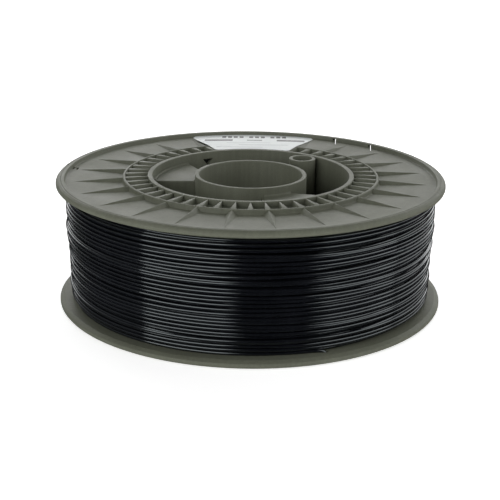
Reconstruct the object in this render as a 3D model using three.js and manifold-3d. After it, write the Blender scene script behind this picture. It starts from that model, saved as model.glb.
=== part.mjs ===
// Full filament spool, standing on its lower flange. Millimetres, +Z up along the spool's axis,
// with the origin in the middle of the underside.
import * as THREE from "three";
import { ConvexGeometry } from "three/addons/geometries/ConvexGeometry.js";
import { mergeVertices } from "three/addons/utils/BufferGeometryUtils.js";
import Module from "manifold-3d";

const wasm = await Module();
wasm.setup();

// Overall size
const FLANGE_RADIUS = 100;
const SPOOL_WIDTH = 66.5;
const FLANGE_DEPTH = 4;
const GAP = 0.3;

// Flange section. Heights are measured from the face that the filament leans on.
const PLATE_RIM_THICKNESS = 2;
const PLATE_CORE_THICKNESS = 1.35;
const RIDGE_INNER_RADIUS = 95.2;
const RIDGE_TOP_INNER_RADIUS = 95.7;
const RIDGE_TOP_OUTER_RADIUS = 98.2;
const RING_OUTER_RADIUS = 66;
const RING_WALL = 1.2;
const RING_HEIGHT = 3.5;

// Short ribs inside the ring, long gussets outside it
const RIB_COUNT = 48;
const RIB_INNER_WIDTH = 0.6;
const RIB_OUTER_WIDTH = 5.8;
const RIB_CREST_WIDTH = 3;
const GUSSET_COUNT = 24;
const GUSSET_WIDTH = 5.4;
const CREST_DROP = 0.35;
const GUSSET_TIP_RADIUS = 89.8;

// Two parallel slits under the upper rim ridge, each with a small blind hole beside it
const RIM_SLIT_ANGLES = [44.2, 58.9];
const RIM_SLIT_WIDTH = 0.4;
const RIM_SLIT_DIRECTION = 85;
const RIM_SLIT_LEAD_IN = 6.5;
const RIM_SLIT_ROOF = 0.5;
const RIM_HOLE_RADIUS = 0.7;
const RIM_HOLE_DEPTH = 2.5;
const RIM_HOLE_OFFSET_ANGLE = 0.85;

// A row of slots that hold a loose filament end
const CLIP_SLOT_ANGLE = 171.4;
const CLIP_SLOT_RADII = [98.3, 94.9, 92.8];
const CLIP_SLOT_SIZE = [1.1, 3.6];

// Core
const BARREL_INNER_RADIUS = 50.8;
const BARREL_OUTER_RADIUS = 53.3;
const HUB_BORE_RADIUS = 26.7;
const HUB_OUTER_RADIUS = 28.9;
const HUB_END_SETBACK = 0.2;
const BORE_CHAMFER = 0.5;
const START_WINDOW = { angle: 118, width: 6, top: 3.8, bottom: 7.6 };

// The core is symmetric about the direction of the drive pin tube
const DRIVE_ANGLE = 50.6;
const DRIVE_RADIUS = 44;
const DRIVE_TUBE_OUTER = 7.2;
const DRIVE_TUBE_BORE = 5.3;

// Webs between hub and barrel: two high bridges and two low floors
const WEB_THICKNESS = 2;
const WEB_SETBACK = 4.6;
const SIDE_WALL = 2;
const STRAIGHT_EDGE_ANGLE = 129.4;
const SLANT_OUTER_ANGLE = 81.6;
const SLANT_INNER_ANGLE = 95;

// Filament
const FILAMENT_DIAMETER = 1.75;
const WINDING_RADIUS_LOW = 94.2;
const WINDING_RADIUS_HIGH = 95.5;
const TUCK_ANGLE = 292.6;
const TUCK_RADIUS = 93.7;
const TUCK_HOLE_DIAMETER = 2.4;
const TAIL_LEAD_IN_ANGLE = 8;

// Label
const LABEL = { start: 67.2, end: 112.2, inner: 54, outer: 94.9, thickness: 0.2, lift: 0.2 };

const SEGMENTS = 72;
const SMALL_SEGMENTS = 32;

const degrees = THREE.MathUtils.degToRad;

// A point at a radius and an angle, seen from above
function polar(radius, angle, height = 0) {
  return new THREE.Vector3(
    radius * Math.cos(degrees(angle)),
    radius * Math.sin(degrees(angle)),
    height,
  );
}

// Turns a three.js geometry into a solid that can be cut and joined
function toSolid(geometry) {
  const bare = geometry.clone();
  bare.deleteAttribute("normal");
  bare.deleteAttribute("uv");
  const merged = mergeVertices(bare, 1e-4);
  const mesh = new wasm.Mesh({
    numProp: 3,
    vertProperties: Float32Array.from(merged.attributes.position.array),
    triVerts: Uint32Array.from(merged.index.array),
  });
  return new wasm.Manifold(mesh);
}

// Turns a solid back into a named three.js mesh
function toMesh(solid, name, material) {
  const { vertProperties, triVerts } = solid.getMesh();
  const geometry = new THREE.BufferGeometry();
  geometry.setAttribute("position", new THREE.BufferAttribute(vertProperties, 3));
  geometry.setIndex(new THREE.BufferAttribute(triVerts, 1));
  geometry.computeVertexNormals();
  const mesh = new THREE.Mesh(geometry, material);
  mesh.name = name;
  return mesh;
}

// Revolves a closed outline of [radius, height] points, given counter-clockwise, about Z
function revolve(outline, segments = SEGMENTS) {
  const points = outline.map(([radius, height]) => new THREE.Vector2(radius, height));
  points.push(points[0].clone());
  const geometry = new THREE.LatheGeometry(points, segments);
  geometry.rotateX(Math.PI / 2);
  return toSolid(geometry);
}

function ring(innerRadius, outerRadius, bottom, top, segments = SEGMENTS) {
  const outline = [
    [innerRadius, bottom],
    [outerRadius, bottom],
    [outerRadius, top],
    [innerRadius, top],
  ];
  return revolve(outline, segments);
}

function cylinder(radius, bottom, top, segments = SMALL_SEGMENTS) {
  const geometry = new THREE.CylinderGeometry(radius, radius, top - bottom, segments);
  geometry.rotateX(Math.PI / 2);
  geometry.translate(0, 0, (bottom + top) / 2);
  return toSolid(geometry);
}

// A box centred on a radius and an angle, with its first side along the radius
function radialBox(size, radius, angle, height) {
  const geometry = new THREE.BoxGeometry(...size);
  geometry.translate(radius, 0, height);
  geometry.rotateZ(degrees(angle));
  return toSolid(geometry);
}

// The outline of a sector of the core. Each edge has its own angle at the inner and outer radius.
function sectorShape(innerRadius, outerRadius, start, end) {
  const shape = new THREE.Shape();
  shape.absarc(0, 0, outerRadius, degrees(start.outer), degrees(end.outer), false);
  shape.absarc(0, 0, innerRadius, degrees(end.inner), degrees(start.inner), true);
  shape.closePath();
  return shape;
}

function extrude(shape, bottom, top, curveSegments = 14) {
  const options = { depth: top - bottom, bevelEnabled: false, curveSegments };
  const geometry = new THREE.ExtrudeGeometry(shape, options);
  geometry.translate(0, 0, bottom);
  return toSolid(geometry);
}

// Moves an edge sideways by a distance, keeping its direction
function shiftEdge(edge, distance, innerRadius, outerRadius) {
  return {
    inner: edge.inner + THREE.MathUtils.radToDeg(distance / innerRadius),
    outer: edge.outer + THREE.MathUtils.radToDeg(distance / outerRadius),
  };
}

// Height of the plate's outer side, which thins a little from the rim ridge to the ring wall
function plateHeight(radius) {
  const share = (radius - RING_OUTER_RADIUS) / (RIDGE_INNER_RADIUS - RING_OUTER_RADIUS);
  const held = THREE.MathUtils.clamp(share, 0, 1);
  return THREE.MathUtils.lerp(PLATE_CORE_THICKNESS, PLATE_RIM_THICKNESS, held);
}

function flangeDisc() {
  const ringInner = RING_OUTER_RADIUS - RING_WALL;
  return revolve([
    [BARREL_OUTER_RADIUS + GAP, 0],
    [FLANGE_RADIUS - 2.4, 0],
    [FLANGE_RADIUS, 1.1],
    [FLANGE_RADIUS, 2.4],
    [FLANGE_RADIUS - 0.7, 3.3],
    [RIDGE_TOP_OUTER_RADIUS, FLANGE_DEPTH],
    [RIDGE_TOP_INNER_RADIUS, FLANGE_DEPTH],
    [RIDGE_INNER_RADIUS, PLATE_RIM_THICKNESS],
    [RING_OUTER_RADIUS, PLATE_CORE_THICKNESS],
    [RING_OUTER_RADIUS, RING_HEIGHT],
    [ringInner, RING_HEIGHT],
    [ringInner, PLATE_CORE_THICKNESS],
    [BARREL_OUTER_RADIUS + GAP, PLATE_CORE_THICKNESS],
  ]);
}

// A ridge with sloping sides that widens from the barrel towards the ring wall
function shortRib(angle) {
  const inner = BARREL_OUTER_RADIUS + GAP + 0.4;
  const outer = RING_OUTER_RADIUS - RING_WALL / 2;
  const foot = PLATE_CORE_THICKNESS;
  const narrow = RIB_INNER_WIDTH / 2;
  const wide = RIB_OUTER_WIDTH / 2;
  const corners = [];
  for (const side of [-1, 1]) {
    corners.push(new THREE.Vector3(inner, (side * narrow) / 2, RING_HEIGHT));
    corners.push(new THREE.Vector3(outer, (side * RIB_CREST_WIDTH) / 2, RING_HEIGHT - CREST_DROP));
    corners.push(new THREE.Vector3(inner, side * narrow, foot - 0.5));
    corners.push(new THREE.Vector3(outer, side * wide, foot));
    corners.push(new THREE.Vector3(outer, side * wide, foot - 0.5));
  }
  const geometry = new ConvexGeometry(corners);
  geometry.rotateZ(degrees(angle));
  return toSolid(geometry);
}

// A spike whose crest falls from just under the top of the ring wall to a point on the plate
function longGusset(angle) {
  const root = RING_OUTER_RADIUS - RING_WALL / 2;
  const half = GUSSET_WIDTH / 2;
  const rootFoot = plateHeight(root);
  const tipFoot = plateHeight(GUSSET_TIP_RADIUS);
  const geometry = new ConvexGeometry([
    new THREE.Vector3(root, 0, RING_HEIGHT - CREST_DROP),
    new THREE.Vector3(root, -half, rootFoot - 0.5),
    new THREE.Vector3(root, half, rootFoot - 0.5),
    new THREE.Vector3(root, -half, rootFoot),
    new THREE.Vector3(root, half, rootFoot),
    new THREE.Vector3(GUSSET_TIP_RADIUS, 0, tipFoot),
    new THREE.Vector3(GUSSET_TIP_RADIUS, 0, tipFoot - 0.5),
  ]);
  geometry.rotateZ(degrees(angle));
  return toSolid(geometry);
}

function flangeBlank() {
  let solid = flangeDisc();
  for (let i = 0; i < RIB_COUNT; i += 1) {
    solid = solid.add(shortRib((360 / RIB_COUNT) * i));
  }
  for (let i = 0; i < GUSSET_COUNT; i += 1) {
    solid = solid.add(longGusset((360 / GUSSET_COUNT) * (i + 0.5)));
  }
  return solid;
}

// A thin cut that starts on the plate, passes under the ridge's top and leaves through the rim
function rimSlit(angle) {
  const mouth = polar(RIDGE_INNER_RADIUS, angle);
  const top = FLANGE_DEPTH - RIM_SLIT_ROOF;
  const geometry = new THREE.BoxGeometry(32, RIM_SLIT_WIDTH, top + 3);
  geometry.rotateZ(degrees(RIM_SLIT_DIRECTION));
  geometry.translate(mouth.x, mouth.y, (top - 3) / 2);
  const rim = ring(RIDGE_INNER_RADIUS - RIM_SLIT_LEAD_IN, FLANGE_RADIUS + 2, -4, 7);
  return toSolid(geometry).intersect(rim);
}

// A blind hole into the ridge, just above the plate
function rimHole(angle) {
  const geometry = new THREE.CylinderGeometry(RIM_HOLE_RADIUS, RIM_HOLE_RADIUS, RIM_HOLE_DEPTH * 2, 12);
  geometry.rotateZ(Math.PI / 2);
  geometry.translate(RIDGE_INNER_RADIUS, 0, PLATE_RIM_THICKNESS + RIM_HOLE_RADIUS + 0.2);
  geometry.rotateZ(degrees(angle + RIM_HOLE_OFFSET_ANGLE));
  return toSolid(geometry);
}

function upperFlange(blank) {
  let solid = blank;
  for (const angle of RIM_SLIT_ANGLES) {
    solid = solid.subtract(rimSlit(angle)).subtract(rimHole(angle));
  }
  for (const radius of CLIP_SLOT_RADII) {
    solid = solid.subtract(radialBox([...CLIP_SLOT_SIZE, 12], radius, CLIP_SLOT_ANGLE, 2));
  }
  return solid.translate([0, 0, SPOOL_WIDTH - FLANGE_DEPTH]);
}

// The lower flange is the same plate turned over, with the hole that the filament end goes into
function lowerFlange(blank) {
  const hole = cylinder(TUCK_HOLE_DIAMETER / 2, -1, 12);
  const place = polar(TUCK_RADIUS, TUCK_ANGLE);
  return blank
    .rotate([180, 0, 0])
    .translate([0, 0, FLANGE_DEPTH])
    .subtract(hole.translate([place.x, place.y, 0]))
    .subtract(tailSolid(FILAMENT_DIAMETER / 2 + GAP));
}

function windingBarrel() {
  const wall = ring(BARREL_INNER_RADIUS, BARREL_OUTER_RADIUS, 0, SPOOL_WIDTH);
  const half = START_WINDOW.width / 2;
  const triangle = new THREE.Shape([
    new THREE.Vector2(-half, -START_WINDOW.top),
    new THREE.Vector2(0, -START_WINDOW.bottom),
    new THREE.Vector2(half, -START_WINDOW.top),
  ]);
  const options = { depth: 8, bevelEnabled: false };
  const geometry = new THREE.ExtrudeGeometry(triangle, options);
  geometry.rotateX(Math.PI / 2);
  geometry.rotateZ(Math.PI / 2);
  geometry.translate(BARREL_INNER_RADIUS - 3, 0, SPOOL_WIDTH);
  geometry.rotateZ(degrees(START_WINDOW.angle));
  return wall.subtract(toSolid(geometry));
}

function hubTube() {
  const bottom = HUB_END_SETBACK;
  const top = SPOOL_WIDTH - HUB_END_SETBACK;
  return revolve([
    [HUB_BORE_RADIUS + BORE_CHAMFER, bottom],
    [HUB_OUTER_RADIUS, bottom],
    [HUB_OUTER_RADIUS, top],
    [HUB_BORE_RADIUS + BORE_CHAMFER, top],
    [HUB_BORE_RADIUS, top - BORE_CHAMFER],
    [HUB_BORE_RADIUS, bottom + BORE_CHAMFER],
  ]);
}

// Stands inside the barrel and touches its wall, with clearance all round
function drivePinTube() {
  const centre = polar(DRIVE_RADIUS, DRIVE_ANGLE);
  const top = SPOOL_WIDTH - HUB_END_SETBACK;
  return ring(DRIVE_TUBE_BORE, DRIVE_TUBE_OUTER, HUB_END_SETBACK, top, SMALL_SEGMENTS)
    .translate([centre.x, centre.y, 0])
    .intersect(cylinder(BARREL_INNER_RADIUS - GAP, -1, SPOOL_WIDTH + 1, SEGMENTS));
}

const WEB_INNER = HUB_OUTER_RADIUS + GAP;
const WEB_OUTER = BARREL_INNER_RADIUS - GAP;
const STRAIGHT_EDGE = { inner: STRAIGHT_EDGE_ANGLE, outer: STRAIGHT_EDGE_ANGLE };
const SLANT_EDGE = { inner: SLANT_INNER_ANGLE, outer: SLANT_OUTER_ANGLE };

// A high plate with a wall down each side, open underneath, on the left of the drive pin tube
function leftCoreBridge() {
  const top = SPOOL_WIDTH - WEB_SETBACK;
  const block = extrude(
    sectorShape(WEB_INNER, WEB_OUTER, SLANT_EDGE, STRAIGHT_EDGE),
    WEB_SETBACK,
    top,
  );
  const hollow = extrude(
    sectorShape(
      WEB_INNER - 3,
      WEB_OUTER + 3,
      shiftEdge(SLANT_EDGE, SIDE_WALL, WEB_INNER, WEB_OUTER),
      shiftEdge(STRAIGHT_EDGE, -SIDE_WALL, WEB_INNER, WEB_OUTER),
    ),
    WEB_SETBACK - 1,
    top - WEB_THICKNESS,
  );
  return block.subtract(hollow).rotate([0, 0, DRIVE_ANGLE]);
}

// The same bridge mirrored about the direction of the drive pin tube
function rightCoreBridge(left) {
  return left
    .rotate([0, 0, -DRIVE_ANGLE])
    .mirror([0, 1, 0])
    .rotate([0, 0, DRIVE_ANGLE]);
}

function mirrorEdge(edge) {
  return { inner: 360 - edge.inner, outer: 360 - edge.outer };
}

function frontCoreFloor() {
  const edge = shiftEdge(STRAIGHT_EDGE, GAP, WEB_INNER, WEB_OUTER);
  const shape = sectorShape(WEB_INNER, WEB_OUTER, edge, mirrorEdge(edge));
  return extrude(shape, WEB_SETBACK, WEB_SETBACK + WEB_THICKNESS, 24).rotate([0, 0, DRIVE_ANGLE]);
}

// The floor behind the hub, cut to let the drive pin tube through
function rearCoreFloor() {
  const end = shiftEdge(SLANT_EDGE, -GAP, WEB_INNER, WEB_OUTER);
  const start = { inner: -end.inner, outer: -end.outer };
  const shape = sectorShape(WEB_INNER, WEB_OUTER, start, end);
  const clearance = cylinder(DRIVE_TUBE_OUTER + GAP, 0, 20).translate([DRIVE_RADIUS, 0, 0]);
  return extrude(shape, WEB_SETBACK, WEB_SETBACK + WEB_THICKNESS, 36)
    .subtract(clearance)
    .rotate([0, 0, DRIVE_ANGLE]);
}

// The filament's outer end: it leaves the lowest turn and drops into the lower flange
function tailSolid(radius) {
  const path = new THREE.CatmullRomCurve3([
    polar(WINDING_RADIUS_LOW + 0.4, TUCK_ANGLE - TAIL_LEAD_IN_ANGLE, 5.4),
    polar(WINDING_RADIUS_LOW + 0.3, TUCK_ANGLE - TAIL_LEAD_IN_ANGLE / 2, 5.3),
    polar(TUCK_RADIUS + 0.2, TUCK_ANGLE - 1, 4.9),
    polar(TUCK_RADIUS, TUCK_ANGLE, 3.4),
    polar(TUCK_RADIUS, TUCK_ANGLE, 0.8),
  ]);
  const section = new THREE.Shape();
  section.absarc(0, 0, radius, 0, Math.PI * 2, false);
  const options = { steps: 24, curveSegments: 10, bevelEnabled: false, extrudePath: path };
  return toSolid(new THREE.ExtrudeGeometry(section, options));
}

function filamentWinding() {
  const bottom = FLANGE_DEPTH + GAP;
  const top = SPOOL_WIDTH - FLANGE_DEPTH - GAP;
  const middle = SPOOL_WIDTH / 2;
  const ringSolid = revolve([
    [BARREL_OUTER_RADIUS + GAP, bottom],
    [WINDING_RADIUS_LOW, bottom],
    [WINDING_RADIUS_LOW, middle - 4],
    [WINDING_RADIUS_HIGH, middle + 3],
    [WINDING_RADIUS_HIGH, top],
    [BARREL_OUTER_RADIUS + GAP, top],
  ]);
  return ringSolid.subtract(tailSolid(FILAMENT_DIAMETER / 2 + GAP));
}

// Paper that rests on the ribs, ring and gussets and comes down onto the plate at the rim
function flangeLabel() {
  const base = SPOOL_WIDTH - FLANGE_DEPTH + LABEL.lift;
  const high = base + RING_HEIGHT;
  const low = base + PLATE_RIM_THICKNESS;
  const sheet = revolve([
    [LABEL.inner, high],
    [RING_OUTER_RADIUS, high],
    [GUSSET_TIP_RADIUS, low],
    [LABEL.outer, low],
    [LABEL.outer, low + LABEL.thickness],
    [GUSSET_TIP_RADIUS, low + LABEL.thickness],
    [RING_OUTER_RADIUS, high + LABEL.thickness],
    [LABEL.inner, high + LABEL.thickness],
  ]);
  const start = { inner: LABEL.start, outer: LABEL.start };
  const end = { inner: LABEL.end, outer: LABEL.end };
  const outline = sectorShape(LABEL.inner - 10, LABEL.outer + 10, start, end);
  return sheet.intersect(extrude(outline, SPOOL_WIDTH - 10, SPOOL_WIDTH + 10));
}

function spoolPlastic() {
  return new THREE.MeshStandardMaterial({ color: 0x82867a, roughness: 0.6, metalness: 0 });
}

function filamentPlastic() {
  return new THREE.MeshStandardMaterial({ color: 0x0c0d10, roughness: 0.25, metalness: 0 });
}

function labelPaper() {
  return new THREE.MeshStandardMaterial({ color: 0xe9ebe7, roughness: 0.8, metalness: 0 });
}

const spool = new THREE.Group();
spool.name = "filament_spool";

const blank = flangeBlank();
const leftBridge = leftCoreBridge();
spool.add(
  toMesh(upperFlange(blank), "upper_flange", spoolPlastic()),
  toMesh(lowerFlange(blank), "lower_flange", spoolPlastic()),
  toMesh(windingBarrel(), "winding_barrel", spoolPlastic()),
  toMesh(hubTube(), "hub_tube", spoolPlastic()),
  toMesh(leftBridge, "left_core_bridge", spoolPlastic()),
  toMesh(rightCoreBridge(leftBridge), "right_core_bridge", spoolPlastic()),
  toMesh(frontCoreFloor(), "front_core_floor", spoolPlastic()),
  toMesh(rearCoreFloor(), "rear_core_floor", spoolPlastic()),
  toMesh(drivePinTube(), "drive_pin_tube", spoolPlastic()),
  toMesh(filamentWinding(), "filament_winding", filamentPlastic()),
  toMesh(tailSolid(FILAMENT_DIAMETER / 2), "filament_end_tail", filamentPlastic()),
  toMesh(flangeLabel(), "flange_label", labelPaper()),
);

export default spool;
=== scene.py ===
import math

import bmesh
import bpy
import numpy as np
from mathutils import Euler, Matrix, Vector


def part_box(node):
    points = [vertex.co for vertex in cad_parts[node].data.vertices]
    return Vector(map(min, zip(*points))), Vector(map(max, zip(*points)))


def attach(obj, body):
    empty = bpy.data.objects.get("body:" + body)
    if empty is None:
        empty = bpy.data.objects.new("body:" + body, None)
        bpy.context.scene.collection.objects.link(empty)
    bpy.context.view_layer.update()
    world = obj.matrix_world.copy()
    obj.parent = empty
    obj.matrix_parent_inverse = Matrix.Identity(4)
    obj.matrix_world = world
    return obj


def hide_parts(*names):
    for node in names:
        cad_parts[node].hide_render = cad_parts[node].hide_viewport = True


# A full filament spool lying on its lower flange. The script works in millimetres along the CAD's
# own axes, and turns them into metres where a mesh is made.

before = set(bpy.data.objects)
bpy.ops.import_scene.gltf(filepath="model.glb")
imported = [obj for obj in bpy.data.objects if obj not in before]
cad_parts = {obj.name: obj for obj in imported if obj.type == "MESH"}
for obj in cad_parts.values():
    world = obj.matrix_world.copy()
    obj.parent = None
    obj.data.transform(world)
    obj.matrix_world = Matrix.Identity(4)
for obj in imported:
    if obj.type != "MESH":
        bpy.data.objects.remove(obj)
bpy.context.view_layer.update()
MM = 0.001


def node_box(node):
    """A CAD node's lowest and highest corners, in millimetres."""
    low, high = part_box(node)
    return Vector(low) / MM, Vector(high) / MM


# Driving dimensions, read from the frame
FLANGE_RADIUS = node_box("upper_flange")[1].x
SPOOL_WIDTH = node_box("upper_flange")[1].z
FLANGE_DEPTH = node_box("lower_flange")[1].z
BARREL_RADIUS = node_box("winding_barrel")[1].x
HUB_RADIUS = node_box("hub_tube")[1].x
HUB_BOTTOM = node_box("hub_tube")[0].z
HUB_TOP = node_box("hub_tube")[1].z
WEB_BOTTOM = node_box("left_core_bridge")[0].z
WEB_TOP = node_box("left_core_bridge")[1].z

# Flange section, with heights measured from the face that the filament leans on
PLATE_AT_RIM = 2.0
PLATE_AT_CORE = 1.35
RING_RADIUS = 66.0
RING_WALL = 1.2
RING_HEIGHT = 3.8
RIDGE_RADIUS = 95.2
RIB_COUNT = 48
GUSSET_COUNT = 24
GUSSET_TIP = 90.6
GUSSET_WIDTH = 5.6
RIB_WIDTH_INNER = 0.6
RIB_WIDTH_OUTER = 5.8
RIB_CREST_WIDTH = 3.0
CREST_DROP = 0.35

# Openings in the upper rim
RIM_SLITS = (44.2, 58.9)
SLIT_DIRECTION = 85.0
SLIT_WIDTH = 0.4
SLIT_LEAD_IN = 6.0
SLIT_REACH = 16.0
SLIT_ROOF = 0.5
RIM_HOLE_RADIUS = 0.7
RIM_HOLE_TURN = 0.85
RIM_HOLE_DEPTH = 2.5
CLIP_ANGLE = 171.4
CLIP_RADII = (98.3, 94.9, 92.8)
CLIP_CUTTER = (1.1, 3.6, 12.0)

# Core
BARREL_WALL = 2.5
HUB_WALL = 2.2
DRIVE_ANGLE = 50.6
DRIVE_DISTANCE = 44.0
DRIVE_TUBE_RADIUS = 7.2
DRIVE_TUBE_BORE = 5.3
WEB_PLATE = 2.0
WEB_OVERLAP = 0.3
SIDE_WALL = 2.0
STRAIGHT_EDGE = (129.4, 129.4)
SLANT_EDGE = (95.0, 81.6)
WINDOW_ANGLE = 118.0
WINDOW_WIDTH = 6.0
WINDOW_DEPTHS = (3.8, 7.6)

# Filament
STRAND = 1.75 / 2
TUCK_ANGLE = 292.6
TUCK_RADIUS = 93.7
TUCK_HOLE = 1.2
WINDING_RADIUS_LOW = 94.2
WINDING_RADIUS_STEP = 1.2
STEPS_PER_TURN = 240
TURNS_PER_LAYER = 28

# Label
LABEL_ANGLES = (67.2, 111.4)
LABEL_RADII = (54.0, 94.9)
LABEL_CORNER = 2.5
LABEL_PAPER = 0.12
PRINT_SINK = 0.02
PRINT_THICKNESS = 0.07
TITLE_LEFT = -17.0
TITLE_WORDS = (4, 3, 3)
TITLE_BLOCK = 2.3
TITLE_SPACE = 1.1
TITLE_ROWS = (87.2, 91.6)

# Printed bars on the label, each as left, right, low and high
SIDE_BARS = [(-26.9, -10.7, 76.4, 81.6), (14.9, 31.0, 76.4, 81.6)]
SUBTITLE_BARS = [(-2.5, 6.3, 77.4, 80.2)]
DETAIL_BARS = [(-14.0, 11.0, 69.2, 70.3), (-7.0, 21.0, 62.6, 63.8), (-19.5, 6.5, 57.2, 58.4)]

# Camera, aimed at a point on the spool's axis
CAMERA_ELEVATION = 18.51
CAMERA_DISTANCE = 633.7
CAMERA_TARGET_HEIGHT = 24.56
CAMERA_ROLL = 0.59
CAMERA_LENS = 86.2


# Meshes

def make_piece(name, vertices, faces, material, sharp=35.0):
    """A mesh object from millimetre vertices, smooth except across edges sharper than an angle."""
    mesh = bpy.data.meshes.new(name)
    scaled = (np.asarray(vertices, dtype=float) * MM).tolist()
    mesh.from_pydata(scaled, [], [list(face) for face in faces])
    mesh.validate()
    piece = bpy.data.objects.new(name, mesh)
    bpy.context.scene.collection.objects.link(piece)
    finish_surface(piece, material, sharp)
    return piece


def finish_surface(piece, material, sharp=35.0):
    piece.data.shade_smooth()
    piece.data.set_sharp_from_angle(angle=math.radians(sharp))
    piece.data.materials.clear()
    piece.data.materials.append(material)


def polar(radius, angle, height=0.0):
    turn = math.radians(angle)
    return np.array((radius * math.cos(turn), radius * math.sin(turn), height))


def rounded(corners, steps=4):
    """Closed outline from (radius, height, fillet) corners, each fillet drawn as a short arc."""
    outline = []
    for i, (x, y, fillet) in enumerate(corners):
        here = np.array((x, y))
        if fillet <= 0:
            outline.append(here)
            continue
        before = np.array(corners[i - 1][:2]) - here
        after = np.array(corners[(i + 1) % len(corners)][:2]) - here
        before /= np.linalg.norm(before)
        after /= np.linalg.norm(after)
        half = 0.5 * math.acos(float(np.clip(before @ after, -1, 1)))
        bisector = (before + after) / np.linalg.norm(before + after)
        centre = here + bisector * fillet / math.sin(half)
        first = here + before * fillet / math.tan(half) - centre
        last = here + after * fillet / math.tan(half) - centre
        start = math.atan2(first[1], first[0])
        sweep = (math.atan2(last[1], last[0]) - start + math.pi) % math.tau - math.pi
        for k in range(steps + 1):
            angle = start + sweep * k / steps
            outline.append(centre + fillet * np.array((math.cos(angle), math.sin(angle))))
    return outline


def revolve(name, corners, material, segments=288, centre=(0.0, 0.0), sharp=35.0):
    """Turns a closed, counter-clockwise outline of (radius, height, fillet) corners about Z."""
    outline = rounded(corners)
    angles = np.arange(segments) * math.tau / segments
    count = len(outline)
    vertices = [
        (centre[0] + r * math.cos(a), centre[1] + r * math.sin(a), z)
        for a in angles
        for r, z in outline
    ]
    faces = []
    for i in range(segments):
        for j in range(count):
            here, there = i * count, (i + 1) % segments * count
            above = (j + 1) % count
            faces.append((here + j, there + j, there + above, here + above))
    return make_piece(name, vertices, faces, material, sharp)


def arc_sweep(name, corners, start, end, material, steps=48, sharp=35.0):
    """Sweeps a closed outline about Z from one angle to another and closes both ends."""
    outline = rounded(corners)
    count = len(outline)
    vertices = [
        polar(r, a, z) for a in np.linspace(start, end, steps + 1) for r, z in outline
    ]
    faces = []
    for i in range(steps):
        for j in range(count):
            here, there = i * count, (i + 1) * count
            above = (j + 1) % count
            faces.append((here + j, there + j, there + above, here + above))
    faces.append(tuple(range(count)))
    faces.append(tuple(reversed(range(steps * count, (steps + 1) * count))))
    return make_piece(name, vertices, faces, material, sharp)


def prism_mesh(outline, bottom, top):
    """Vertices and faces of a prism over a counter-clockwise outline."""
    count = len(outline)
    vertices = [(x, y, bottom) for x, y in outline] + [(x, y, top) for x, y in outline]
    faces = [tuple(reversed(range(count))), tuple(range(count, 2 * count))]
    for j in range(count):
        after = (j + 1) % count
        faces.append((j, after, count + after, count + j))
    return vertices, faces


def core_sector(inner, outer, start, end, steps=24):
    """Outline of a sector of the core; each edge is an (angle at inner, angle at outer) pair."""
    outside = [polar(outer, a)[:2] for a in np.linspace(start[1], end[1], steps + 1)]
    inside = [polar(inner, a)[:2] for a in np.linspace(end[0], start[0], steps + 1)]
    return outside + inside


def apply_modifiers(piece):
    graph = bpy.context.evaluated_depsgraph_get()
    mesh = bpy.data.meshes.new_from_object(piece.evaluated_get(graph))
    old = piece.data
    piece.modifiers.clear()
    piece.data = mesh
    bpy.data.meshes.remove(old)


def cut(piece, cutters, material, sharp=35.0):
    """Takes the cutters out of the piece."""
    for cutter in cutters:
        modifier = piece.modifiers.new("cut", "BOOLEAN")
        modifier.operation = "DIFFERENCE"
        modifier.solver = "EXACT"
        modifier.object = cutter
    apply_modifiers(piece)
    for cutter in cutters:
        bpy.data.objects.remove(cutter)
    finish_surface(piece, material, sharp)


def soften_edges(piece, width, sharp=35.0, segments=2):
    """Rounds every edge sharper than an angle."""
    modifier = piece.modifiers.new("soften", "BEVEL")
    modifier.width = width * MM
    modifier.segments = segments
    modifier.limit_method = "ANGLE"
    modifier.angle_limit = math.radians(sharp)
    modifier.harden_normals = False
    apply_modifiers(piece)
    piece.data.shade_smooth()
    piece.data.set_sharp_from_angle(angle=math.radians(sharp))


def joined(name, pieces, material, sharp=35.0):
    """Puts several meshes into one object."""
    mesh = bmesh.new()
    for piece in pieces:
        mesh.from_mesh(piece.data)
        bpy.data.objects.remove(piece)
    data = bpy.data.meshes.new(name)
    mesh.to_mesh(data)
    mesh.free()
    piece = bpy.data.objects.new(name, data)
    bpy.context.scene.collection.objects.link(piece)
    finish_surface(piece, material, sharp)
    return piece


def transform(piece, matrix):
    piece.data.transform(matrix)
    if matrix.determinant() < 0:
        piece.data.flip_normals()
    return piece


def turned(angle):
    return Matrix.Rotation(math.radians(angle), 4, "Z")


def radial_box(name, size, radius, angle, height):
    """A box with its first side along the radius, used as a cutter."""
    x, y, z = (side / 2 for side in size)
    outline = [(radius - x, -y), (radius + x, -y), (radius + x, y), (radius - x, y)]
    vertices, faces = prism_mesh(outline, height - z, height + z)
    box = make_piece(name, vertices, faces, spool_plastic)
    return transform(box, turned(angle))


# Materials

def node_material(name):
    material = bpy.data.materials.new(name)
    material.use_nodes = True
    tree = material.node_tree
    shader = tree.nodes["Principled BSDF"]
    place = tree.nodes.new("ShaderNodeTexCoord")
    return material, tree, shader, place.outputs["Object"]


def noise(tree, place, scale, detail=3.0):
    """Noise whose grain is about 1/scale metres."""
    node = tree.nodes.new("ShaderNodeTexNoise")
    node.inputs["Scale"].default_value = scale
    node.inputs["Detail"].default_value = detail
    tree.links.new(place, node.inputs["Vector"])
    return node.outputs["Fac"]


def blend_colors(tree, factor, dark, light):
    node = tree.nodes.new("ShaderNodeMix")
    node.data_type = "RGBA"
    node.inputs["A"].default_value = (*dark, 1.0)
    node.inputs["B"].default_value = (*light, 1.0)
    tree.links.new(factor, node.inputs["Factor"])
    return node.outputs["Result"]


def multiply(tree, color, amount):
    node = tree.nodes.new("ShaderNodeMix")
    node.data_type = "RGBA"
    node.blend_type = "MULTIPLY"
    node.inputs["Factor"].default_value = 1.0
    tree.links.new(color, node.inputs["A"])
    tree.links.new(amount, node.inputs["B"])
    return node.outputs["Result"]


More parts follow.
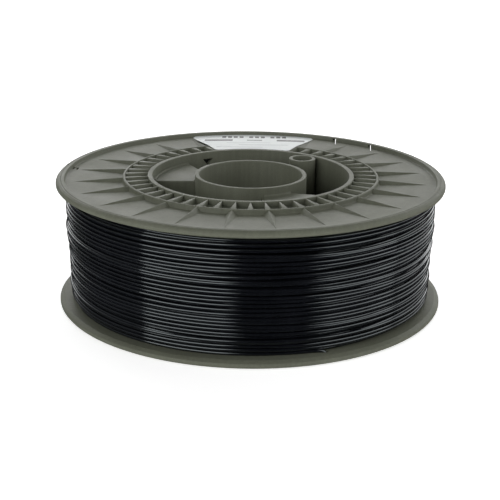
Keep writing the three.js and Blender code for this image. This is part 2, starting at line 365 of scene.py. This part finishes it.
def spread(tree, factor, low, high):
    """Maps the middle of a noise to a range of values."""
    node = tree.nodes.new("ShaderNodeMapRange")
    node.inputs["From Min"].default_value = 0.3
    node.inputs["From Max"].default_value = 0.7
    node.inputs["To Min"].default_value = low
    node.inputs["To Max"].default_value = high
    tree.links.new(factor, node.inputs["Value"])
    return node.outputs["Result"]


def add_bump(tree, shader, height, strength, distance):
    node = tree.nodes.new("ShaderNodeBump")
    node.inputs["Strength"].default_value = strength
    node.inputs["Distance"].default_value = distance
    tree.links.new(height, node.inputs["Height"])
    tree.links.new(node.outputs["Normal"], shader.inputs["Normal"])


def make_spool_plastic():
    """Matte moulded plastic with a slow tone drift, faint speckle, draw marks and fine grain."""
    material, tree, shader, place = node_material("spool plastic")
    drift = spread(tree, noise(tree, place, 28.0, 4.0), 0.0, 1.0)
    tone = blend_colors(tree, drift, (0.121, 0.128, 0.095), (0.140, 0.148, 0.111))
    speckle = spread(tree, noise(tree, place, 1400.0, 2.0), 0.94, 1.05)
    squash = tree.nodes.new("ShaderNodeMapping")
    squash.inputs["Scale"].default_value = (1.0, 1.0, 0.04)
    tree.links.new(place, squash.inputs["Vector"])
    draw_marks = spread(tree, noise(tree, squash.outputs["Vector"], 520.0, 3.0), 0.93, 1.07)
    color = multiply(tree, multiply(tree, tone, speckle), draw_marks)
    tree.links.new(color, shader.inputs["Base Color"])
    tree.links.new(spread(tree, noise(tree, place, 60.0), 0.5, 0.6), shader.inputs["Roughness"])
    shader.inputs["Specular IOR Level"].default_value = 0.26
    add_bump(tree, shader, noise(tree, place, 2600.0, 3.0), 0.25, 0.00006)
    return material


def make_filament_plastic():
    """Glossy extruded black, a little wavy from the extruder."""
    material, tree, shader, place = node_material("filament plastic")
    drift = spread(tree, noise(tree, place, 90.0), 0.0, 1.0)
    tone = blend_colors(tree, drift, (0.003, 0.0035, 0.005), (0.006, 0.0068, 0.009))
    tree.links.new(tone, shader.inputs["Base Color"])
    tree.links.new(spread(tree, noise(tree, place, 220.0), 0.09, 0.14), shader.inputs["Roughness"])
    shader.inputs["Specular IOR Level"].default_value = 0.88
    shader.inputs["Specular Tint"].default_value = (0.9, 0.99, 1.0, 1.0)
    add_bump(tree, shader, noise(tree, place, 420.0, 1.0), 0.05, 0.0001)
    return material


def make_label_paper():
    """Smooth coated white paper with a faint fibre."""
    material, tree, shader, place = node_material("label paper")
    fibre = spread(tree, noise(tree, place, 900.0, 5.0), 0.0, 1.0)
    tone = blend_colors(tree, fibre, (0.7, 0.735, 0.73), (0.74, 0.775, 0.77))
    tree.links.new(tone, shader.inputs["Base Color"])
    tree.links.new(spread(tree, noise(tree, place, 120.0), 0.42, 0.52), shader.inputs["Roughness"])
    add_bump(tree, shader, noise(tree, place, 1800.0, 4.0), 0.15, 0.00004)
    return material


def make_ink(name, dark, light):
    """Printing ink, a little uneven where the paper shows through."""
    material, tree, shader, place = node_material(name)
    cover = spread(tree, noise(tree, place, 2200.0, 3.0), 0.0, 1.0)
    tree.links.new(blend_colors(tree, cover, dark, light), shader.inputs["Base Color"])
    tree.links.new(spread(tree, noise(tree, place, 400.0), 0.4, 0.5), shader.inputs["Roughness"])
    return material


def make_floor_paint():
    material, tree, shader, place = node_material("pale floor")
    drift = spread(tree, noise(tree, place, 3.0), 0.0, 1.0)
    tone = blend_colors(tree, drift, (0.88, 0.88, 0.88), (0.9, 0.9, 0.9))
    tree.links.new(tone, shader.inputs["Base Color"])
    shader.inputs["Roughness"].default_value = 0.85
    shader.inputs["Emission Color"].default_value = (1.0, 1.0, 1.0, 1.0)
    shader.inputs["Emission Strength"].default_value = 0.6
    return material


spool_plastic = make_spool_plastic()
filament_plastic = make_filament_plastic()
label_paper = make_label_paper()
dark_ink = make_ink("dark ink", (0.035, 0.037, 0.04), (0.06, 0.062, 0.065))
grey_ink = make_ink("grey ink", (0.13, 0.145, 0.14), (0.17, 0.185, 0.18))
pale_ink = make_ink("pale ink", (0.5, 0.53, 0.53), (0.6, 0.63, 0.63))


# Flanges

def plate_height(radius):
    """The plate thins a little from the rim ridge to the ring wall."""
    return float(np.interp(radius, (RING_RADIUS, RIDGE_RADIUS), (PLATE_AT_CORE, PLATE_AT_RIM)))


def flange_disc(name):
    """The plate with its rim and ring wall, lying with its outer side up."""
    ring_inner = RING_RADIUS - RING_WALL
    rim = FLANGE_RADIUS
    corners = [
        (BARREL_RADIUS - 0.1, 0.0, 0.0),
        (rim - 2.4, 0.0, 0.6),
        (rim, 1.1, 0.8),
        (rim, 2.4, 0.6),
        (rim - 0.7, 3.3, 0.8),
        (rim - 1.8, FLANGE_DEPTH - 0.05, 0.5),
        (rim - 2.3, FLANGE_DEPTH - 0.05, 0.05),
        (rim - 2.5, FLANGE_DEPTH - 0.25, 0.05),
        (rim - 2.7, FLANGE_DEPTH, 0.06),
        (rim - 4.3, FLANGE_DEPTH, 0.25),
        (RIDGE_RADIUS, PLATE_AT_RIM, 0.6),
        (RING_RADIUS + 0.3, PLATE_AT_CORE, 1.0),
        (RING_RADIUS, RING_HEIGHT, 0.75),
        (ring_inner, RING_HEIGHT, 0.12),
        (ring_inner - 0.05, PLATE_AT_CORE, 0.2),
        (BARREL_RADIUS - 0.1, PLATE_AT_CORE, 0.0),
    ]
    return revolve(name, corners, spool_plastic)


def short_rib():
    """A ridge with sloping sides that widens from the barrel to the ring wall."""
    inner, outer = BARREL_RADIUS - 0.2, RING_RADIUS - RING_WALL + 0.3
    foot = PLATE_AT_CORE
    narrow, wide, crest = RIB_WIDTH_INNER / 2, RIB_WIDTH_OUTER / 2, RIB_CREST_WIDTH / 2
    corners = [
        (inner, -narrow, foot),
        (inner, narrow, foot),
        (outer, -wide, foot),
        (outer, wide, foot),
        (inner, -narrow, foot - 0.3),
        (inner, narrow, foot - 0.3),
        (outer, -wide, foot - 0.3),
        (outer, wide, foot - 0.3),
        (inner, -0.15, RING_HEIGHT + 0.05),
        (inner, 0.15, RING_HEIGHT + 0.05),
        (outer, -crest, RING_HEIGHT - CREST_DROP),
        (outer, crest, RING_HEIGHT - CREST_DROP),
    ]
    faces = [
        (8, 10, 11, 9), (0, 2, 10, 8), (1, 9, 11, 3), (0, 8, 9, 1), (2, 3, 11, 10),
        (4, 5, 7, 6), (0, 4, 6, 2), (1, 3, 7, 5), (0, 1, 5, 4), (2, 6, 7, 3),
    ]
    rib = make_piece("rib", corners, faces, spool_plastic, sharp=20.0)
    make_faces_point_out(rib)
    soften_edges(rib, 0.12)
    return rib


def long_gusset():
    """A spike whose crest falls from the ring wall to a point on the plate."""
    root = RING_RADIUS - 0.4
    half = GUSSET_WIDTH / 2
    foot, tip_foot = plate_height(root), plate_height(GUSSET_TIP)
    crest = RING_HEIGHT - CREST_DROP
    corners = [
        (root, -half, foot),
        (root, half, foot),
        (GUSSET_TIP, 0.0, tip_foot),
        (root, -0.2, crest),
        (root, 0.2, crest),
        (root, -half, foot - 0.4),
        (root, half, foot - 0.4),
        (GUSSET_TIP, 0.0, tip_foot - 0.4),
    ]
    faces = [
        (5, 6, 7), (0, 3, 4, 1), (5, 0, 1, 6), (0, 2, 3),
        (3, 2, 4), (4, 2, 1), (5, 7, 2, 0), (6, 1, 2, 7),
    ]
    gusset = make_piece("gusset", corners, faces, spool_plastic, sharp=20.0)
    make_faces_point_out(gusset)
    return gusset


def make_faces_point_out(piece):
    mesh = bmesh.new()
    mesh.from_mesh(piece.data)
    bmesh.ops.recalc_face_normals(mesh, faces=mesh.faces)
    mesh.to_mesh(piece.data)
    mesh.free()


def repeated(name, pattern, count, offset):
    """Copies a pattern round the axis and joins the copies."""
    copies = []
    for i in range(count):
        copy = bpy.data.objects.new("copy", pattern.data.copy())
        copies.append(transform(copy, turned(360.0 / count * (i + offset))))
    bpy.data.objects.remove(pattern)
    return joined(name, copies, spool_plastic)


def flange_pieces(prefix):
    disc = flange_disc(prefix + "_flange_disc")
    ribs = repeated(prefix + "_flange_short_ribs", short_rib(), RIB_COUNT, 0.0)
    gussets = repeated(prefix + "_flange_long_gussets", long_gusset(), GUSSET_COUNT, 0.5)
    return disc, ribs, gussets


def rim_slit(angle):
    """Cutter for a thin slanted slit that passes under the top of the rim's ridge."""
    turn = math.radians(SLIT_DIRECTION)
    along = np.array((math.cos(turn), math.sin(turn)))
    across = np.array((-along[1], along[0])) * SLIT_WIDTH / 2
    mouth = polar(RIDGE_RADIUS, angle)[:2]
    start = mouth - along * SLIT_LEAD_IN
    end = mouth + along * SLIT_REACH
    outline = [start - across, end - across, end + across, start + across]
    return make_piece("slit", *prism_mesh(outline, -3.0, FLANGE_DEPTH - SLIT_ROOF), spool_plastic)


def rim_hole(angle):
    """Cutter for the small blind hole beside a slit."""
    ring = [polar(RIM_HOLE_RADIUS, a)[:2] for a in range(0, 360, 15)]
    inner, outer = RIDGE_RADIUS - RIM_HOLE_DEPTH, RIDGE_RADIUS + RIM_HOLE_DEPTH
    hole = make_piece("hole", *prism_mesh(ring, inner, outer), spool_plastic)
    lay_down = Matrix.Rotation(math.pi / 2, 4, "Y")
    lift = Matrix.Translation((0, 0, (PLATE_AT_RIM + RIM_HOLE_RADIUS + 0.2) * MM))
    return transform(hole, turned(angle + RIM_HOLE_TURN) @ lift @ lay_down)


def upper_flange():
    disc, ribs, gussets = flange_pieces("upper")
    cutters = []
    for angle in RIM_SLITS:
        cutters += [rim_slit(angle), rim_hole(angle)]
    for i, radius in enumerate(CLIP_RADII):
        cutters.append(radial_box(f"slot_{i}", CLIP_CUTTER, radius, CLIP_ANGLE, 2.0))
    cut(disc, cutters, spool_plastic)
    raise_to_top = Matrix.Translation((0, 0, (SPOOL_WIDTH - FLANGE_DEPTH) * MM))
    for piece in (disc, ribs, gussets):
        transform(piece, raise_to_top)
        hand_over(piece, "spool_plastic", "upper_flange")


def drill(name, radius, bottom, top, segments, centre):
    """Round cutter that stands upright."""
    axis = 0.0001
    corners = [(axis, bottom, 0), (radius, bottom, 0), (radius, top, 0), (axis, top, 0)]
    return revolve(name, corners, spool_plastic, segments=segments, centre=centre)


def lower_flange():
    disc, ribs, gussets = flange_pieces("lower")
    turn_over = Matrix.Translation((0, 0, FLANGE_DEPTH * MM)) @ Matrix.Rotation(math.pi, 4, "X")
    for piece in (disc, ribs, gussets):
        transform(piece, turn_over)
    place = polar(TUCK_RADIUS, TUCK_ANGLE)[:2]
    hole = drill("tuck_hole", TUCK_HOLE, -2, 8, 24, place)
    cut(disc, [hole], spool_plastic)
    for piece in (disc, ribs, gussets):
        hand_over(piece, "spool_plastic", "lower_flange")


def hand_over(piece, slot, *nodes):
    """The piece rides on the frame and stands for CAD nodes, which it hides; the slot argument is
    not used.
    """
    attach(piece, "root")
    if nodes:
        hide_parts(*nodes)


# Core

def winding_barrel():
    inner = BARREL_RADIUS - BARREL_WALL
    corners = [
        (inner, 0.0, 0.45),
        (BARREL_RADIUS, 0.0, 0.3),
        (BARREL_RADIUS, SPOOL_WIDTH, 0.3),
        (inner, SPOOL_WIDTH, 0.45),
    ]
    barrel = revolve("winding_barrel_wall", corners, spool_plastic)
    half = WINDOW_WIDTH / 2
    top, bottom = (SPOOL_WIDTH - depth for depth in WINDOW_DEPTHS)
    triangle = [(half, top), (0.0, bottom), (-half, top)]
    near = [(inner - 3, y, z) for y, z in triangle]
    far = [(inner + 5, y, z) for y, z in triangle]
    faces = [(0, 1, 2), (5, 4, 3), (0, 3, 4, 1), (1, 4, 5, 2), (2, 5, 3, 0)]
    cutter = make_piece("window_cutter", near + far, faces, spool_plastic)
    make_faces_point_out(cutter)
    transform(cutter, turned(WINDOW_ANGLE))
    cut(barrel, [cutter], spool_plastic)
    hand_over(barrel, "spool_plastic", "winding_barrel")


def hub_tube():
    bore = HUB_RADIUS - HUB_WALL
    corners = [
        (bore, HUB_BOTTOM, 0.6),
        (HUB_RADIUS, HUB_BOTTOM, 0.4),
        (HUB_RADIUS, HUB_TOP, 0.4),
        (bore, HUB_TOP, 0.6),
    ]
    tube = revolve("hub_tube_wall", corners, spool_plastic, segments=192)
    hand_over(tube, "spool_plastic", "hub_tube")


def drive_pin_tube():
    corners = [
        (DRIVE_TUBE_BORE, HUB_BOTTOM, 0.4),
        (DRIVE_TUBE_RADIUS, HUB_BOTTOM, 0.35),
        (DRIVE_TUBE_RADIUS, HUB_TOP, 0.35),
        (DRIVE_TUBE_BORE, HUB_TOP, 0.4),
    ]
    centre = polar(DRIVE_DISTANCE, DRIVE_ANGLE)[:2]
    tube = revolve("drive_pin_tube_wall", corners, spool_plastic, segments=96, centre=centre)
    hand_over(tube, "spool_plastic", "drive_pin_tube")


def shifted(edge, distance, inner, outer):
    """Moves an edge of a core sector sideways."""
    return (
        edge[0] + math.degrees(distance / inner),
        edge[1] + math.degrees(distance / outer),
    )


def bridge_shell(name):
    """A high plate with a wall down each side, in the frame of the drive pin tube."""
    inner = HUB_RADIUS - WEB_OVERLAP
    outer = BARREL_RADIUS - BARREL_WALL + WEB_OVERLAP
    block = make_piece(
        name,
        *prism_mesh(core_sector(inner, outer, SLANT_EDGE, STRAIGHT_EDGE), WEB_BOTTOM, WEB_TOP),
        spool_plastic,
    )
    soften_edges(block, 0.9, sharp=60.0, segments=4)
    hollow_start = shifted(SLANT_EDGE, SIDE_WALL, inner, outer)
    hollow_end = shifted(STRAIGHT_EDGE, -SIDE_WALL, inner, outer)
    hollow = make_piece(
        "hollow",
        *prism_mesh(
            core_sector(inner - 3, outer + 3, hollow_start, hollow_end),
            WEB_BOTTOM - 2,
            WEB_TOP - WEB_PLATE,
        ),
        spool_plastic,
    )
    cut(block, [hollow], spool_plastic)
    return block


def bridge_trim(name):
    """The fillet where the plate meets the hub, and the low ledge along the barrel."""
    top = WEB_TOP - 0.05
    hub_side = HUB_RADIUS - 0.3
    fillet = [
        (hub_side, top, 0.0),
        (HUB_RADIUS + 1.1, top, 0.0),
        (HUB_RADIUS + 0.5, top + 0.3, 0.0),
        (HUB_RADIUS + 0.2, top + 0.6, 0.0),
        (HUB_RADIUS, top + 1.1, 0.0),
        (hub_side, top + 1.1, 0.0),
    ]
    barrel_side = BARREL_RADIUS - BARREL_WALL
    ledge = [
        (barrel_side - 1.5, top, 0.0),
        (barrel_side + 0.3, top, 0.0),
        (barrel_side + 0.3, top + 0.75, 0.0),
        (barrel_side - 1.3, top + 0.75, 0.3),
    ]
    near_hub = arc_sweep("near_hub", fillet, SLANT_EDGE[0] + 2, STRAIGHT_EDGE[0] - 2, spool_plastic)
    near_barrel = arc_sweep(
        "near_barrel", ledge, SLANT_EDGE[1] + 1.2, STRAIGHT_EDGE[1] - 1.2, spool_plastic
    )
    return joined(name, [near_hub, near_barrel], spool_plastic)


def core_bridges():
    mirror = Matrix.Scale(-1, 4, (0, 1, 0))
    for side, flip in (("left", Matrix.Identity(4)), ("right", mirror)):
        shell = bridge_shell(f"{side}_core_bridge_shell")
        trim = bridge_trim(f"{side}_core_bridge_trim")
        for piece in (shell, trim):
            transform(piece, turned(DRIVE_ANGLE) @ flip)
            hand_over(piece, "spool_plastic", f"{side}_core_bridge")


def core_floors():
    inner = HUB_RADIUS - WEB_OVERLAP
    outer = BARREL_RADIUS - BARREL_WALL + WEB_OVERLAP
    top = WEB_BOTTOM + WEB_PLATE
    front_start = shifted(STRAIGHT_EDGE, -WEB_OVERLAP, inner, outer)
    front_end = (360 - front_start[0], 360 - front_start[1])
    rear_end = shifted(SLANT_EDGE, WEB_OVERLAP, inner, outer)
    rear_start = (-rear_end[0], -rear_end[1])
    spans = {
        "front_core_floor": (front_start, front_end),
        "rear_core_floor": (rear_start, rear_end),
    }
    for node, (start, end) in spans.items():
        sector = core_sector(inner, outer, start, end, steps=64)
        floor = make_piece(node + "_web", *prism_mesh(sector, WEB_BOTTOM, top), spool_plastic)
        if node == "rear_core_floor":
            bore = drill("drive_bore", DRIVE_TUBE_BORE + 0.4, 0, 20, 64, (DRIVE_DISTANCE, 0.0))
            cut(floor, [bore], spool_plastic)
        transform(floor, turned(DRIVE_ANGLE))
        hand_over(floor, "spool_plastic", node)


# Filament

def smooth(values, width):
    """Gaussian smoothing with reflected ends; width is the standard deviation in samples."""
    reach = int(width * 3) + 1
    kernel = np.exp(-0.5 * (np.arange(-reach, reach + 1) / width) ** 2)
    padded = np.pad(values, reach, mode="reflect")
    return np.convolve(padded, kernel / kernel.sum(), mode="valid")


def wander(rng, count, width, amount):
    """A slow random drift with a given standard deviation."""
    drift = smooth(rng.normal(size=count), width)
    return amount * drift / drift.std()


def winding_step(z):
    """Outer radius of the full winding, which is a little larger in its upper half."""
    rise = 1.0 + np.exp(-(z - SPOOL_WIDTH * 0.52) / 1.5)
    return WINDING_RADIUS_LOW + WINDING_RADIUS_STEP / rise


class Winding:
    """Lays filament turn by turn on the surface left by the turns before."""

    CELL = 0.125

    def __init__(self, rng):
        self.rng = rng
        self.low = FLANGE_DEPTH + STRAND + 0.03
        self.high = SPOOL_WIDTH - FLANGE_DEPTH - STRAND - 0.03
        heights = np.arange(0.0, SPOOL_WIDTH, self.CELL)
        self.surface = np.tile(winding_step(heights) - 5.4, (STEPS_PER_TURN, 1))
        self.heights = heights

    def footprint(self, z):
        """The surface cells near a strand, and how far its round bulges over each."""
        reach = int(STRAND / self.CELL) + 1
        cell = np.round(z / self.CELL).astype(int)
        for k in range(-reach, reach + 1):
            index = np.clip(cell + k, 0, len(self.heights) - 1)
            offset = self.heights[index] - z
            bulge = np.sqrt(np.maximum(STRAND**2 - offset**2, 0.0))
            yield index, np.abs(offset) < STRAND, bulge

    def rest_radius(self, rows, z):
        """Where the centre of a strand comes to rest at each angle."""
        radius = np.zeros(len(z))
        for index, inside, bulge in self.footprint(z):
            resting = np.maximum(radius, self.surface[rows, index] + bulge)
            radius = np.where(inside, resting, radius)
        return radius

    def press_in(self, rows, z, radius):
        """Raises the surface where a strand has been laid."""
        for index, inside, bulge in self.footprint(z):
            raised = np.where(inside, radius + bulge, 0.0)
            self.surface[rows, index] = np.maximum(self.surface[rows, index], raised)

    def pull_tight(self, radius, z, depth):
        """Tension keeps the strands that cross over others close to the layer's radius."""
        level = winding_step(z) - STRAND - depth
        over = np.maximum(radius - level, 0.0)
        return np.minimum(radius, level) + 1.0 - np.exp(-over)

    def traverse(self, first_step, steps, start, end, slips, depth):
        """Lays one layer from one flange to the other and returns its path."""
        progress = np.linspace(0.0, 1.0, steps)
        z = start + (end - start) * progress
        z += wander(self.rng, steps, STEPS_PER_TURN * 1.6, 0.45)
        z += wander(self.rng, steps, STEPS_PER_TURN * 0.14, 0.2)
        for _ in range(slips):
            middle = self.rng.uniform(0.04, 0.96) * steps
            width = self.rng.uniform(0.05, 0.14) * STEPS_PER_TURN
            size = self.rng.choice((-1, 1)) * self.rng.uniform(1.2, 2.6)
            z += size * np.exp(-0.5 * ((np.arange(steps) - middle) / width) ** 2)
        z = np.clip(z, self.low, self.high)
        radius = np.zeros(steps)
        for begin in range(0, steps, STEPS_PER_TURN):
            part = slice(begin, min(begin + STEPS_PER_TURN, steps))
            rows = (first_step + np.arange(part.start, part.stop)) % STEPS_PER_TURN
            rest = self.rest_radius(rows, z[part])
            spread_out = np.max([np.roll(rest, k) for k in range(-2, 3)], axis=0)
            radius[part] = self.pull_tight(smooth(spread_out, 2.0), z[part], depth)
            self.press_in(rows, z[part], radius[part])
        return np.arange(first_step, first_step + steps), smooth(radius, 1.5), z


def path_points(steps, radius, z):
    angle = steps * math.tau / STEPS_PER_TURN
    return np.stack([radius * np.cos(angle), radius * np.sin(angle), z], axis=1)


def tube(points, sides):
    """Vertices and faces of a closed round tube of filament along the points."""
    forward = np.gradient(points, axis=0)
    forward /= np.linalg.norm(forward, axis=1, keepdims=True)
    outward = points * (1, 1, 0)
    outward -= forward * np.sum(outward * forward, axis=1, keepdims=True)
    outward /= np.linalg.norm(outward, axis=1, keepdims=True)
    across = np.cross(forward, outward)
    turn = np.arange(sides) * math.tau / sides
    rings = (
        points[:, None, :]
        + STRAND * np.cos(turn)[None, :, None] * outward[:, None, :]
        + STRAND * np.sin(turn)[None, :, None] * across[:, None, :]
    )
    vertices = rings.reshape(-1, 3)
    count = len(points)
    index = np.arange(count * sides).reshape(count, sides)
    after = np.roll(index, -1, axis=1)
    quads = np.stack([index[:-1], after[:-1], after[1:], index[1:]], axis=-1).reshape(-1, 4)
    faces = quads.tolist()
    faces.append(list(reversed(range(sides))))
    faces.append(list(range((count - 1) * sides, count * sides)))
    return vertices, faces


def tail_points(last):
    """From the end of the last turn down through the hole in the lower flange."""
    entry = polar(TUCK_RADIUS, TUCK_ANGLE, FLANGE_DEPTH)
    controls = [
        last,
        np.array((*polar(TUCK_RADIUS - 0.1, TUCK_ANGLE - 1.3)[:2], last[2])),
        entry + (0, 0, 0.7),
        entry - (0, 0, 3.2),
    ]
    share = np.linspace(0.0, 1.0, 25)[1:, None]
    weights = ((1 - share) ** 3, 3 * share * (1 - share) ** 2, 3 * share**2 * (1 - share), share**3)
    return sum(weight * control for weight, control in zip(weights, controls))


def filament():
    rng = np.random.default_rng(7)
    winding = Winding(rng)
    layer = TURNS_PER_LAYER * STEPS_PER_TURN
    end_step = round((TUCK_ANGLE - 4.0) / 360 * STEPS_PER_TURN)
    start = end_step - 3 * layer
    low, high = winding.low, winding.high
    winding.traverse(start, layer, high, low, slips=6, depth=3.2)
    under = winding.traverse(start + layer, layer, low, high, slips=8, depth=2.0)
    outer = winding.traverse(start + 2 * layer, layer + 1, high, low, slips=12, depth=0.6)

    inner_turns(low, high)
    vertices, faces = tube(path_points(*under), sides=8)
    under_turns = make_piece("filament_turns_beneath", vertices, faces, filament_plastic, 80.0)
    hand_over(under_turns, "filament_plastic", "filament_winding")

    points = path_points(*outer)
    vertices, faces = tube(np.vstack([points, tail_points(points[-1])]), sides=10)
    outer_turns = make_piece("filament_outer_turns", vertices, faces, filament_plastic, 80.0)
    hand_over(outer_turns, "filament_plastic", "filament_winding", "filament_end_tail")


def inner_turns(low, high):
    """The layers that only show through gaps: a ring with one bump for each turn."""
    pitch = (high - low) / TURNS_PER_LAYER
    corners = [(BARREL_RADIUS + 0.05, low - STRAND, 0.0)]
    for i in range(TURNS_PER_LAYER + 1):
        for share in (-0.5, -0.25, 0.0, 0.25):
            z = low + pitch * (i + share)
            if low - STRAND < z < high + STRAND:
                corners.append((90.2 + 0.9 * math.cos(math.pi * share), z, 0.0))
    corners.append((BARREL_RADIUS + 0.05, high + STRAND, 0.0))
    body = revolve("filament_inner_turns", corners, filament_plastic, segments=144, sharp=80.0)
    hand_over(body, "filament_plastic", "filament_winding")


# Label

def label_height(radius):
    """Height of the paper's underside above the flange's winding face."""
    near_tip, past_tip = GUSSET_TIP - 3.0, GUSSET_TIP + 2.0
    stations = (0.0, RING_RADIUS, near_tip, past_tip, RIDGE_RADIUS - 1.0, RIDGE_RADIUS)
    rest = (
        RING_HEIGHT + 0.03,
        RING_HEIGHT + 0.03,
        plate_height(near_tip) + 0.3,
        plate_height(past_tip) + 0.05,
        plate_height(RIDGE_RADIUS - 1.0) + 0.05,
        plate_height(RIDGE_RADIUS) + 0.3,
    )
    return float(np.interp(radius, stations, rest))


def sheet(name, grid, bottom, thickness, material):
    """A sheet over a grid of (x, y) points that follows the label's surface."""
    rows, width = len(grid), len(grid[0])
    base = SPOOL_WIDTH - FLANGE_DEPTH + bottom
    flat = [point for row in grid for point in row]
    under_side = [(x, y, base + label_height(math.hypot(x, y))) for x, y in flat]
    top_side = [(x, y, z + thickness) for x, y, z in under_side]
    size = len(flat)
    faces = []
    for i in range(rows - 1):
        for j in range(width - 1):
            here, beyond = i * width + j, (i + 1) * width + j
            corners = (here, here + 1, beyond + 1, beyond)
            faces.append(corners)
            faces.append(tuple(size + corner for corner in reversed(corners)))
    edge_loop = (
        list(range(width - 1))
        + [i * width + width - 1 for i in range(rows - 1)]
        + [(rows - 1) * width + j for j in range(width - 1, 0, -1)]
        + [i * width for i in range(rows - 1, 0, -1)]
    )
    for here, there in zip(edge_loop, edge_loop[1:] + edge_loop[:1]):
        faces.append((here, there, size + there, size + here))
    piece = make_piece(name, top_side + under_side, faces, material, 50.0)
    make_faces_point_out(piece)
    return piece


def label_grid(corner, rows=48, columns=40):
    """Points over the label's sector, with rounded corners."""
    inner, outer = LABEL_RADII
    grid = []
    for i in range(rows + 1):
        radius = inner + (outer - inner) * (0.5 - 0.5 * math.cos(math.pi * i / rows))
        edge = min(radius - inner, outer - radius, corner)
        inset = corner - math.sqrt(corner**2 - (corner - edge) ** 2)
        trim = math.degrees(inset / radius)
        angles = np.linspace(LABEL_ANGLES[0] + trim, LABEL_ANGLES[1] - trim, columns + 1)
        grid.append([tuple(polar(radius, angle)[:2]) for angle in angles])
    return grid


def bar_grid(left, right, low, high, rows=4):
    """Points over a straight printed bar."""
    columns = max(2, round((right - left) / 2))
    return [
        [(x, y) for x in np.linspace(left, right, columns + 1)]
        for y in np.linspace(low, high, rows + 1)
    ]


def title_blocks():
    """Plain blocks in word-like groups that stand for a printed title."""
    blocks = []
    left = TITLE_LEFT
    for letters in TITLE_WORDS:
        for _ in range(letters):
            blocks.append((left, left + TITLE_BLOCK, *TITLE_ROWS))
            left += TITLE_BLOCK + TITLE_SPACE
        left += TITLE_BLOCK
    return blocks


def label():
    paper = sheet("flange_label_paper", label_grid(LABEL_CORNER), 0.0, LABEL_PAPER, label_paper)
    hand_over(paper, "label_paper", "flange_label")
    print_layers = (
        ("title", dark_ink, title_blocks()),
        ("bar", dark_ink, SIDE_BARS),
        ("subtitle", grey_ink, SUBTITLE_BARS),
        ("detail", pale_ink, DETAIL_BARS),
    )
    for title, ink, bars in print_layers:
        bottom = LABEL_PAPER - PRINT_SINK
        marks = [sheet("mark", bar_grid(*bar), bottom, PRINT_THICKNESS, ink) for bar in bars]
        layer = joined(f"flange_label_{title}_print", marks, ink, 50.0)
        hand_over(layer, "label_paper")


# Studio

def softbox(name, azimuth, elevation, distance, size, radiance):
    """An area light that faces the spool. Azimuth 0 is on the camera's side, 90 to its right."""
    turn, lift = math.radians(azimuth - 90.0), math.radians(elevation)
    level = math.cos(lift)
    away = Vector((math.cos(turn) * level, math.sin(turn) * level, math.sin(lift)))
    lamp = area_light(name, size, radiance)
    lamp.location = away * distance + Vector((0, 0, 0.03))
    lamp.rotation_euler = away.to_track_quat("Z", "Y").to_euler()


def area_light(name, size, radiance):
    light = bpy.data.lights.new(name, "AREA")
    light.shape = "RECTANGLE"
    light.size, light.size_y = size
    light.energy = radiance * math.pi * size[0] * size[1]
    lamp = bpy.data.objects.new(name, light)
    bpy.context.scene.collection.objects.link(lamp)
    return lamp


def studio():
    floor = make_piece(
        "pale_floor",
        [(-4000, -4000, 0), (4000, -4000, 0), (4000, 4000, 0), (-4000, 4000, 0)],
        [(0, 1, 2, 3)],
        make_floor_paint(),
    )
    floor.visible_glossy = False
    softbox("front_left_softbox", -38.5, 24.0, 1.0, (0.95, 0.77), 2.45)
    softbox("left_fill", -98.0, 24.0, 1.0, (1.3, 0.8), 0.15)
    softbox("rear_left_softbox", -150.0, 24.0, 1.0, (0.75, 0.7), 0.55)
    softbox("front_right_softbox", 70.0, 24.0, 1.0, (0.93, 0.77), 1.65)
    softbox("rear_right_softbox", 122.0, 24.0, 1.0, (0.93, 0.77), 1.2)
    softbox("rear_softbox", 180.0, 24.0, 1.3, (1.8, 0.8), 2.25)
    softbox("overhead_softbox", 180.0, 85.0, 1.3, (2.0, 2.0), 0.03)
    backdrop = area_light("backdrop_light", (2.4, 1.6), 0.55)
    backdrop.location = (0.0, 1.5, 1.5)
    world = bpy.data.worlds.new("studio air")
    world.use_nodes = True
    background = world.node_tree.nodes["Background"]
    background.inputs["Color"].default_value = (1.0, 1.0, 1.0, 1.0)
    background.inputs["Strength"].default_value = 0.015
    scene = bpy.context.scene
    scene.world = world
    scene.view_settings.view_transform = "Standard"


def camera():
    """The viewpoint: a little over 600 mm away, 18.5 degrees above the table."""
    lens = bpy.data.cameras.new("camera")
    lens.sensor_width = 36.0
    lens.lens = CAMERA_LENS
    view = bpy.data.objects.new("camera", lens)
    elevation = math.radians(CAMERA_ELEVATION)
    target = np.array((0.0, 0.0, CAMERA_TARGET_HEIGHT))
    back = np.array((0.0, -math.cos(elevation), math.sin(elevation)))
    view.location = Vector(target + back * CAMERA_DISTANCE) * MM
    view.rotation_euler = Euler((math.pi / 2 - elevation, 0.0, 0.0))
    view.matrix_world = (
        Matrix.Translation(view.location)
        @ view.rotation_euler.to_matrix().to_4x4()
        @ Matrix.Rotation(math.radians(CAMERA_ROLL), 4, "Z")
    )
    bpy.context.scene.collection.objects.link(view)
    bpy.context.scene.camera = view


upper_flange()
lower_flange()
winding_barrel()
hub_tube()
drive_pin_tube()
core_bridges()
core_floors()
filament()
label()
studio()
camera()
